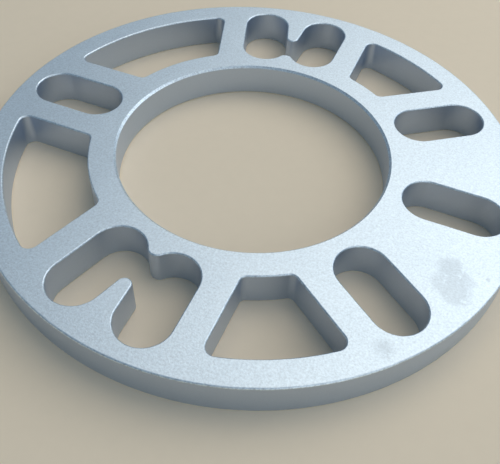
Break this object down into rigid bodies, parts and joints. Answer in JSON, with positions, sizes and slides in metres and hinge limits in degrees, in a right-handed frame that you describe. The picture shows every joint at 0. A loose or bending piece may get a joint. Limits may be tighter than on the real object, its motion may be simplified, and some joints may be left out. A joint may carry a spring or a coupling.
{
  "type": "wheel spacer",
  "caption": "Flat cast disc with a large centre bore, radial stud slots and open windows, clamped between a hub and a road wheel to move the wheel outwards.",
  "frame": {"origin": "centre of the hub-side face, on the axle", "axes": "+Z along the axle, away from the hub; +X through the slot that the four-stud and the five-stud layouts share"},
  "size_m": [0.149, 0.149, 0.01],
  "materials": {
    "cast_aluminium": "satin, fine-grained as-cast skin with a few grey smudges"
  },
  "bodies": {
    "root": {"spacer_disc": "cast_aluminium"}
  },
  "joints": []
}
